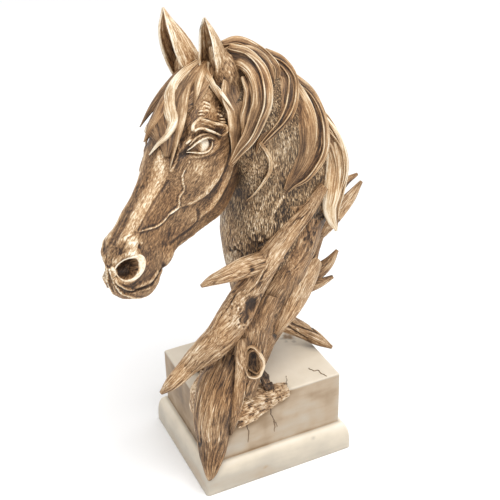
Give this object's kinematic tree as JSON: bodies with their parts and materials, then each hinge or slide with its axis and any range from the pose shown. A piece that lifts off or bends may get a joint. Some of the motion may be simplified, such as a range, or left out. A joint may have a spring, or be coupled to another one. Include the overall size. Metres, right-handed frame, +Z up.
{
  "type": "horse head sculpture",
  "caption": "Antiqued resin shelf sculpture: a horse's head and mane growing out of driftwood that wraps the corner of a rectangular ivory plinth.",
  "frame": {"origin": "centre of the plinth's underside", "axes": "+X along the plinth's wide face, +Y towards its back, +Z up; the head looks towards -X and -Y"},
  "size_m": [0.2514, 0.1384, 0.3726],
  "materials": {
    "ivory_resin": "aged ivory, satin",
    "antiqued_resin": "brown wash with cream dry-brushed ridges, satin"
  },
  "bodies": {
    "root": {"plinth": "ivory_resin", "horse_and_driftwood": "antiqued_resin"}
  },
  "joints": []
}
